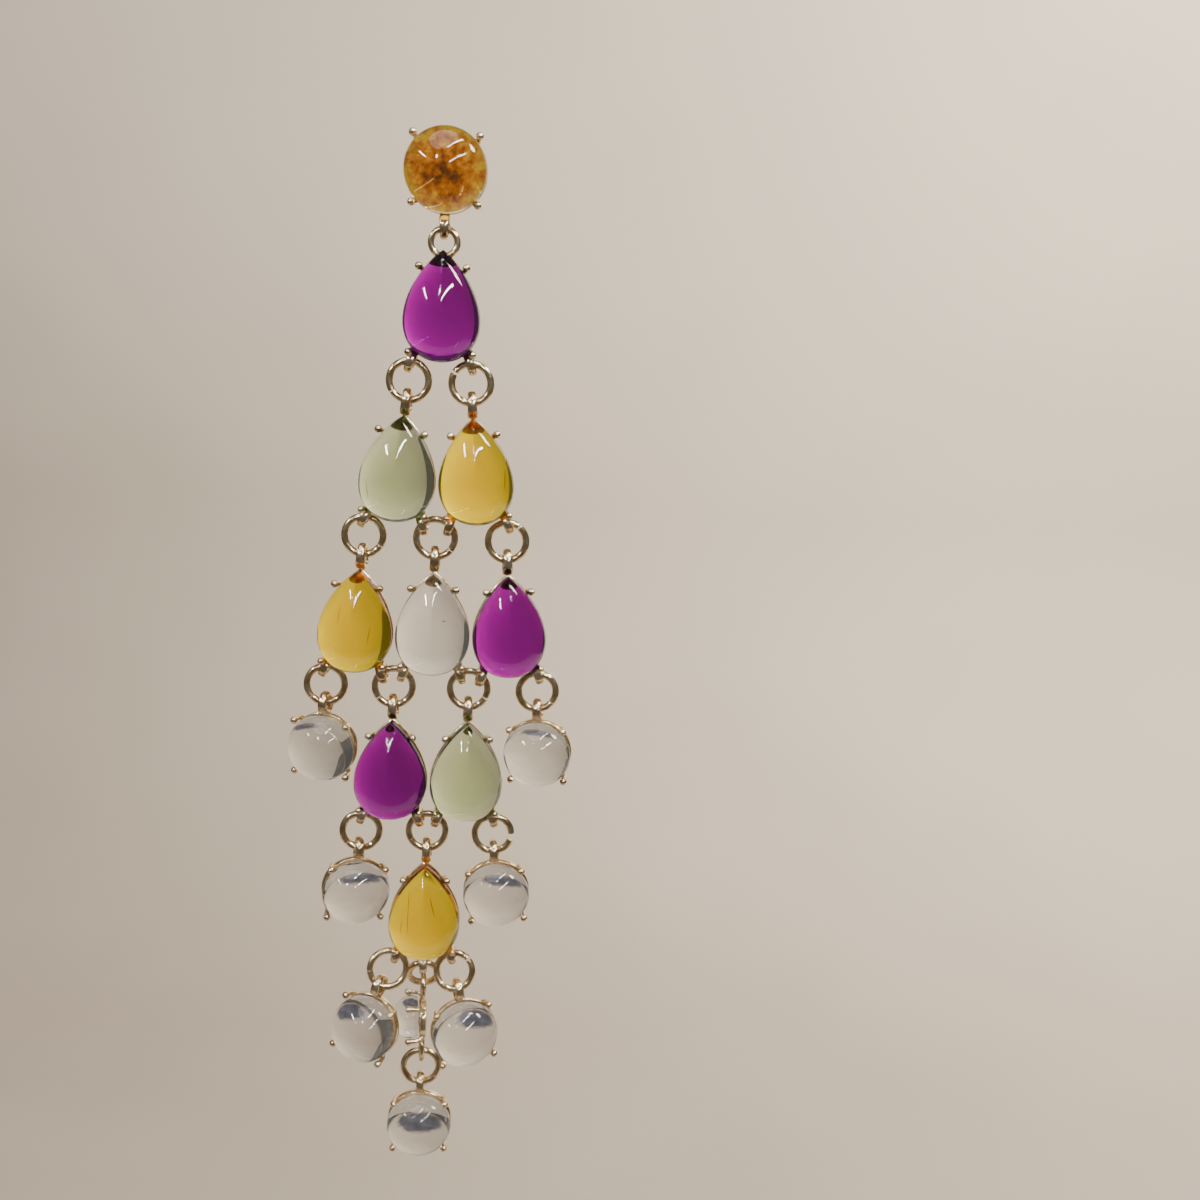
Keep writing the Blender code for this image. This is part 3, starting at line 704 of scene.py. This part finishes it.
def per_mm(millimetres):
    """The scale that gives a pattern features this many millimetres wide."""
    return 1 / (millimetres * MM)


def cast_gold_plate(name, light, dark):
    """Brass, cast or drawn, tumbled and plated in pale champagne gold.

    Tumbling leaves it bright but softly uneven, so the highlights wander a little, and
    the plate is browner in places.
    """
    material, tree, shader, place = new_material(name, {"Metallic": 1.0})
    blotches = add_node(tree, "TexNoise", {}, {"Vector": place, "Scale": per_mm(1.4), "Detail": 3})
    stops = (0.35, linear(dark)), (0.62, linear(light))
    tone = add_node(tree, "ValToRGB", {}, {"Fac": blotches}, stops)
    clouds = add_node(tree, "TexNoise", {}, {"Vector": place, "Scale": per_mm(0.5), "Detail": 3})
    haze = add_node(
        tree,
        "MapRange",
        {},
        {"Value": clouds, "From Min": 0.3, "From Max": 0.7, "To Min": 0.13, "To Max": 0.27},
    )
    dents = add_node(tree, "TexNoise", {}, {"Vector": place, "Scale": per_mm(0.42), "Detail": 2})
    bump = add_node(tree, "Bump", {}, {"Height": dents, "Strength": 0.5, "Distance": 0.03 * MM})
    fill(tree, shader, {"Base Color": tone, "Roughness": haze, "Normal": bump})
    return material


def cast_resin(name, tint, density):
    """Clear polyester resin, cast in a polished mould and tinted right through.

    The tint is taken up along the light's way, so thick parts are deeper in colour, and
    the surface is glossy with the slight waviness of a casting.
    """
    values = {"Base Color": (1, 1, 1, 1), "Roughness": 0.015, "IOR": 1.54}
    material, tree, shader, place = new_material(name, {**values, "Transmission Weight": 1.0})
    waves = add_node(tree, "TexNoise", {}, {"Vector": place, "Scale": per_mm(2.6), "Detail": 1})
    bump = add_node(tree, "Bump", {}, {"Height": waves, "Strength": 0.12, "Distance": 0.05 * MM})
    fill(tree, shader, {"Normal": bump})
    depth = add_node(tree, "VolumeAbsorption", {}, {"Color": linear(tint), "Density": density})
    fill(tree, tree.nodes["Material Output"], {"Volume": depth})
    return material


def painted_streaks_and_speck(name):
    """Painted shade for streaks of refraction, and one real speck: dull and nearly black brown."""
    material, tree, shader, place = new_material(name, {"Roughness": 0.7})
    grains = add_node(tree, "TexNoise", {}, {"Vector": place, "Scale": per_mm(0.4)})
    stops = (0.3, linear("#2A1E10")), (0.7, linear("#5A4420"))
    fill(tree, shader, {"Base Color": add_node(tree, "ValToRGB", {}, {"Fac": grains}, stops)})
    return material


def mottled_backing_with_painted_glow(name):
    """The lacquer behind the stud's cabochon, in fine blotches of amber, rust and yellow.

    Painted light lies over the blotches: painted shade makes the middle darker and browner, and a painted
    glow makes the edge shine yellow.
    """
    material, tree, shader, place = new_material(name, {"Roughness": 0.5, "IOR": 1.5})
    # Painted shade and glow: a radial fade that darkens the middle and turns the edge yellow
    spread = add_node(tree, "Mapping", {}, {"Vector": place, "Scale": (per_mm(5.6),) * 3})
    painted_radial_fade = add_node(tree, "TexGradient", {"gradient_type": "SPHERICAL"}, {"Vector": spread})
    middle = add_node(
        tree,
        "Math",
        {"operation": "MULTIPLY_ADD"},
        {0: painted_radial_fade.outputs["Fac"], 1: -0.52, 2: 0.29},
    )
    spots = add_node(
        tree,
        "TexNoise",
        {},
        {"Vector": place, "Scale": per_mm(1.1), "Detail": 8, "Roughness": 0.7},
    )
    blotches = add_node(tree, "Math", {"operation": "ADD"}, {0: spots, 1: middle})
    stops = (
        (0.24, linear("#3A2008")),
        (0.36, linear("#6E3C14")),
        (0.46, linear("#B86E20")),
        (0.57, linear("#E89C28")),
        (0.68, linear("#FFE030")),
    )
    fill(tree, shader, {"Base Color": add_node(tree, "ValToRGB", {}, {"Fac": blotches}, stops)})
    return material


def matt_paper_with_painted_shade(name, light, dark):
    """Matt backdrop paper, not quite even, with painted shade: darker where the light falls off.

    Its tone goes from dark to light with z plus half x.
    """
    material, tree, shader, place = new_material(name, {"Roughness": 0.9})
    # Painted shade: the tone is darker lower down and further left, where the light falls off
    painted_shade_slant = add_node(tree, "VectorMath", {"operation": "DOT_PRODUCT"}, {0: place, 1: (0.5, 0, 1)})
    painted_shade_range = {"From Min": -0.62, "From Max": 0.12, "To Min": -0.12, "To Max": 0.88}
    height = add_node(
        tree,
        "MapRange",
        {"interpolation_type": "SMOOTHSTEP"},
        {"Value": painted_shade_slant.outputs["Value"], **painted_shade_range},
    )
    clouds = add_node(tree, "TexNoise", {}, {"Vector": place, "Scale": per_mm(120), "Detail": 1})
    tone_with_painted_shade = add_node(tree, "Math", {"operation": "MULTIPLY_ADD"}, {0: clouds, 1: 0.24, 2: height})
    stops = (0.0, linear(dark)), (1.0, linear(light))
    fill(tree, shader, {"Base Color": add_node(tree, "ValToRGB", {}, {"Fac": tone_with_painted_shade}, stops)})
    return material


def painted_dark_reflection_material(name, centre, reach):
    """Painted dark reflection: a dark grey sheet with ragged edges that thins out towards its reach from
    its centre.
    """
    material, tree, shader, place = new_material(name, {"Roughness": 0.9})
    # Painted dark reflection: dark grey, fading out raggedly from its centre
    patch_mottle = add_node(tree, "TexNoise", {}, {"Vector": place, "Scale": per_mm(60)})
    stops = (0.3, linear("#34343C")), (0.7, linear("#5A5A62"))
    tone = add_node(tree, "ValToRGB", {}, {"Fac": patch_mottle}, stops)
    scale = [1 / far if far else 0 for far in reach]
    shift = [-middle * by for middle, by in zip(centre, scale)]
    spread = add_node(tree, "Mapping", {}, {"Vector": place, "Location": shift, "Scale": scale})
    painted_radial_fade = add_node(tree, "TexGradient", {"gradient_type": "SPHERICAL"}, {"Vector": spread})
    edge_noise = add_node(tree, "TexNoise", {}, {"Vector": place, "Scale": per_mm(45), "Detail": 3})
    ragged_fade = add_node(
        tree,
        "Math",
        {"operation": "MULTIPLY_ADD"},
        {0: edge_noise, 1: 0.5, 2: painted_radial_fade.outputs["Fac"]},
    )
    thin = add_node(
        tree,
        "MapRange",
        {},
        {"Value": ragged_fade, "From Min": 0.35, "From Max": 0.62, "To Min": 0.0, "To Max": 1.0},
    )
    fill(tree, shader, {"Base Color": tone, "Alpha": thin})
    return material


# Pieces


def mesh_from(surfaces, placed):
    """One mesh of the surfaces, moved by a matrix, with poles and seams closed."""
    points, faces, start = [], [], 0
    turn = np.array(placed.to_3x3())
    shift = np.array(placed.translation)
    for surface in surfaces:
        rows, columns = surface.shape[:2]
        index = np.arange(rows * columns).reshape(rows, columns) + start
        index = np.concatenate([index, index[:, :1]], axis=1)
        quads = np.stack([index[:-1, :-1], index[1:, :-1], index[1:, 1:], index[:-1, 1:]], -1)
        faces.append(quads.reshape(-1, 4))
        points.append(surface.reshape(-1, 3) @ turn.T + shift)
        start += rows * columns
    data = bpy.data.meshes.new("surface")
    data.from_pydata(np.concatenate(points).tolist(), [], np.concatenate(faces).tolist())
    joined = bmesh.new()
    joined.from_mesh(data)
    bmesh.ops.remove_doubles(joined, verts=joined.verts, dist=1e-7)
    bmesh.ops.recalc_face_normals(joined, faces=joined.faces)
    joined.to_mesh(data)
    joined.free()
    data.shade_smooth()
    return data


def add_piece(name, surfaces, placed, material, body, slot, *nodes):
    """A finished piece on its body, in the place of its CAD nodes."""
    data = mesh_from(surfaces, placed)
    data.name = name
    data.materials.append(material)
    piece = bpy.data.objects.new(name, data)
    bpy.context.scene.collection.objects.link(piece)
    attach(piece, body)
    if nodes:
        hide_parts(*nodes)
    return piece


def dress_earring():
    """Every piece of the earring."""
    frames = hang_everything()
    gold = cast_gold_plate("tumbled_champagne_gold_plate", "#F6E4C0", "#D6B88A")
    ring_gold = cast_gold_plate("drawn_wire_gold_plate", "#F2DFB8", "#D0B284")
    resins = {
        "purple": cast_resin("cast_resin_violet", "#E90AED", 1680),
        "yellow": cast_resin("cast_resin_yellow", "#FFFA10", 1650),
        "green": cast_resin("cast_resin_grey_green", "#A6CA38", 215),
        "clear": cast_resin("cast_resin_clear", "#808078", 42),
        "amber": cast_resin("cast_resin_amber", "#FDEA90", 215),
    }

    place, amber = frames["stud"], resins["amber"]
    stone = cabochon(STUD_WIDTH, STUD_WIDTH, 0, STUD_DOME, 0)
    add_piece("stud_cabochon", [stone], place, amber, "stud", "resin_amber", "stud_stone")
    metal = stud_setting()
    add_piece("stud_claw_setting", metal, place, gold, "stud", "plated_metal", "stud_setting")
    radius = STUD_WIDTH / 2 - BASE_INSET - GAP
    front = -STONE_BACK + LACQUER_GAP
    back = front + LACQUER_THICKNESS
    backing = turned_on_y(((front, 0), (front, radius), (back, radius), (back, 0)))
    # The lacquer's blotches are its own colour; its dark middle and yellow edge are painted shade and
    # glow
    lacquer = mottled_backing_with_painted_glow("mottled_amber_lacquer_with_painted_glow")
    add_piece("stud_mottled_backing", [backing], place, lacquer, "stud", "resin_amber")

    for name, form, stone, *_ in DROPS:
        place = frames[name]
        surface = cabochon(*stone_form(form), stone_middle(form))
        resin, slot = resins[stone], "resin_" + stone
        add_piece("cabochon_" + name, [surface], place, resin, "drop", slot, "stone_" + name)
        metal, node = setting(form), "setting_" + name
        add_piece("claw_setting_" + name, metal, place, gold, "drop", "plated_metal", node)
    # Dark slivers in the stones: painted shade for streaks of refraction, the last a real speck
    streaks_and_speck = painted_streaks_and_speck("painted_streaks_and_speck")
    forms = {name: form for name, form, *_ in DROPS}
    for number, (name, slot, *line) in enumerate(DARK_SLIVERS):
        surface = dark_sliver(*line, stone_middle(forms[name]))
        add_piece(f"dark_sliver_{number + 1}", [surface], frames[name], streaks_and_speck, "drop", slot)
    for name, _, width, _, _, cut, gape, slip in RINGS:
        surface = jump_ring(width, cut, gape, slip)
        node = "jump_" + name
        add_piece("wire_" + name, [surface], frames[name], ring_gold, "drop", "plated_metal", node)


# Surroundings: a plain pale sweep, soft light and ceiling strips


def sheet(name, x, y, z, material):
    """A sheet over a row of x, along a profile of y and z."""
    points = points_of(x[None, :], y[:, None], z[:, None])
    rows, columns = points.shape[:2]
    index = np.arange(rows * columns).reshape(rows, columns)
    quads = np.stack([index[:-1, :-1], index[:-1, 1:], index[1:, 1:], index[1:, :-1]], -1)
    data = bpy.data.meshes.new(name)
    data.from_pydata(points.reshape(-1, 3).tolist(), [], quads.reshape(-1, 4).tolist())
    data.shade_smooth()
    data.materials.append(material)
    made = bpy.data.objects.new(name, data)
    bpy.context.scene.collection.objects.link(made)
    return made


def painted_dark_card(name, material_name, centre, reach):
    """A dark card that the stones alone show, a painted dark reflection, flat where its reach from its
    centre is nil.
    """
    low, high = np.array(centre) - reach, np.array(centre) + reach
    material = painted_dark_reflection_material(material_name, centre, reach)
    made = sheet(name, *np.stack([low, high], axis=1), material)
    made.visible_camera = made.visible_shadow = made.visible_diffuse = False


def sweep():
    """A pale floor that curves up into a wall, its tone painted darker where the light falls off, and two
    dark cards.

    The sweep is only a little wider than the picture and past its edges the room is dim,
    which draws dark outlines round the stones. The cards are painted shade that only the
    stones show: they give each its dark patch above and its dark arc below.
    """
    turn = np.linspace(0, pi / 2, BEND_STEPS)
    run = WALL_Y - BEND * (1 - np.sin(turn))
    rise = FLOOR_Z + BEND * (1 - np.cos(turn))
    y = np.concatenate([[-0.22, 0.0, 0.4], run, [WALL_Y, WALL_Y]])
    z = np.concatenate([[FLOOR_Z] * 3, rise, [0.3, 0.66]])
    # The paper's dark tone is painted shade, lower down and to the left
    paper = matt_paper_with_painted_shade("matt_backdrop_paper_with_painted_shade", "#D6CAB6", "#A69A89")
    sheet("pale_sweep", np.linspace(-0.58, 0.70, 9), y, z, paper)
    # Two dark cards that only the stones show, painted dark reflections in them
    on_floor = (-0.03, 0.17, FLOOR_Z + 2 * MM), (0.17, 0.15, 0)
    painted_dark_card("painted_dark_reflection_below", "painted_dark_reflection_card_below", *on_floor)
    painted_dark_card("painted_dark_reflection_above", "painted_dark_reflection_card_above", (0, 0.40, 0.27), (0.62, 0, 0.09))


def area_light(name, shape, place, turn, size, power, colour="#FFFFFF", spread=180):
    """A light of (width, height) at a place, turned by a 3 by 3 matrix."""
    light = bpy.data.lights.new(name, "AREA")
    light.shape = shape
    light.size, light.size_y = size
    light.energy = power
    light.color = linear(colour)[:3]
    light.spread = radians(spread)
    made = bpy.data.objects.new(name, light)
    made.matrix_world = Matrix.Translation(place) @ turn.to_4x4()
    bpy.context.scene.collection.objects.link(made)


def ceiling_strip(name, near, far, width, power):
    """A long thin light from a near to a far point, facing down to the earring."""
    near, far = Vector(near), Vector(far)
    along = (far - near).normalized()
    middle = (near + far) / 2
    facing = (STRIP_TARGET - middle).normalized()
    facing = (facing - along * facing.dot(along)).normalized()
    turn = Matrix((along.cross(-facing), along, -facing)).transposed()
    area_light(name, "RECTANGLE", middle, turn, (width, (far - near).length), power)


def surroundings():
    """The world, the lights and the sweep."""
    sweep()
    world = bpy.data.worlds.new("soft_room")
    bpy.context.scene.world = world
    world.use_nodes = True
    room = world.node_tree.nodes["Background"]
    fill(world.node_tree, room, {"Color": linear("#CFC8C0"), "Strength": 0.20})
    for strip in STRIPS:
        ceiling_strip(*strip)
    for name, shape, place, target, *rest in LAMPS:
        facing = Vector(target) - Vector(place)
        turn = facing.to_track_quat("-Z", "X").to_matrix()
        area_light(name, shape, Vector(place), turn, *rest)


def photograph_camera():
    """The camera at the photograph's angle, from its place, pitch, roll and turn."""
    place, pitch, roll, turn, focal = CAMERA
    pitch, roll = radians(pitch), radians(roll)
    ahead = Vector((0, cos(pitch), -sin(pitch)))
    up = Vector((0, sin(pitch), cos(pitch)))
    side = Vector((1, 0, 0))
    rolled_side = cos(roll) * side + sin(roll) * up
    rolled_up = cos(roll) * up - sin(roll) * side
    lens = bpy.data.cameras.new("photograph_camera")
    lens.sensor_width = 36
    lens.lens = lens.sensor_width * focal / PICTURE_WIDTH
    lens.clip_start = 0.005
    lens.clip_end = 20
    made = bpy.data.objects.new("photograph_camera", lens)
    axes = Matrix((rolled_side, rolled_up, -ahead)).transposed().to_4x4()
    turned = Matrix.Rotation(radians(turn), 4, "Z")
    made.matrix_world = turned @ Matrix.Translation(Vector(place) * MM) @ axes
    bpy.context.scene.collection.objects.link(made)
    bpy.context.scene.camera = made


dress_earring()
surroundings()
photograph_camera()
